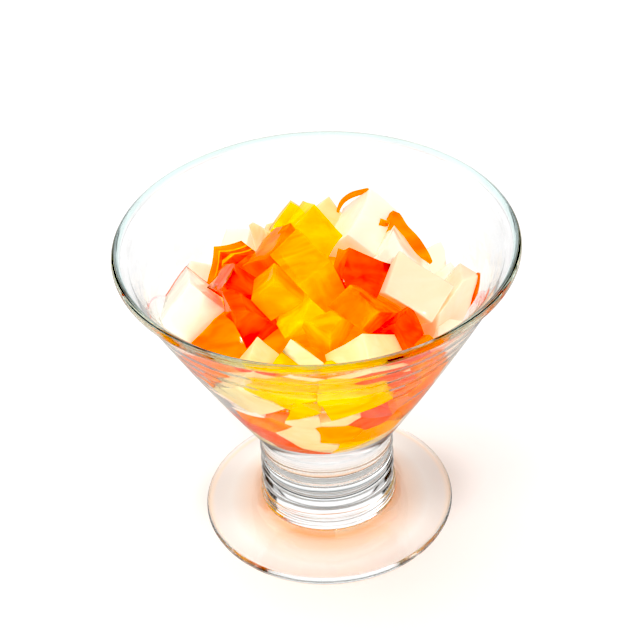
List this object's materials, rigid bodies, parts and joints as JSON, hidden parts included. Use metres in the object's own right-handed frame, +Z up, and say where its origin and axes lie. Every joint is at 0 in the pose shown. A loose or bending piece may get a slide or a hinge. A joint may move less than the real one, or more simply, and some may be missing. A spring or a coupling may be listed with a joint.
{
  "type": "cut jelly pieces in a footed dessert glass",
  "caption": "Heap of cut translucent and milky jelly blocks in a clear conical dessert glass on a thick stem and round foot.",
  "frame": {"origin": "middle of the underside of the foot", "axes": "+Z up along the axis of the glass; -Y towards the viewer of the picture, +X to its right"},
  "size_m": [0.1144, 0.1144, 0.101],
  "materials": {
    "clear_glass": "clear, smooth, faint green edge",
    "cut_jelly": "wet, translucent, in milk white, cream, yellow, orange and red pieces"
  },
  "bodies": {
    "root": {"footed_glass": "clear_glass", "jelly_heap": "cut_jelly"}
  },
  "joints": []
}
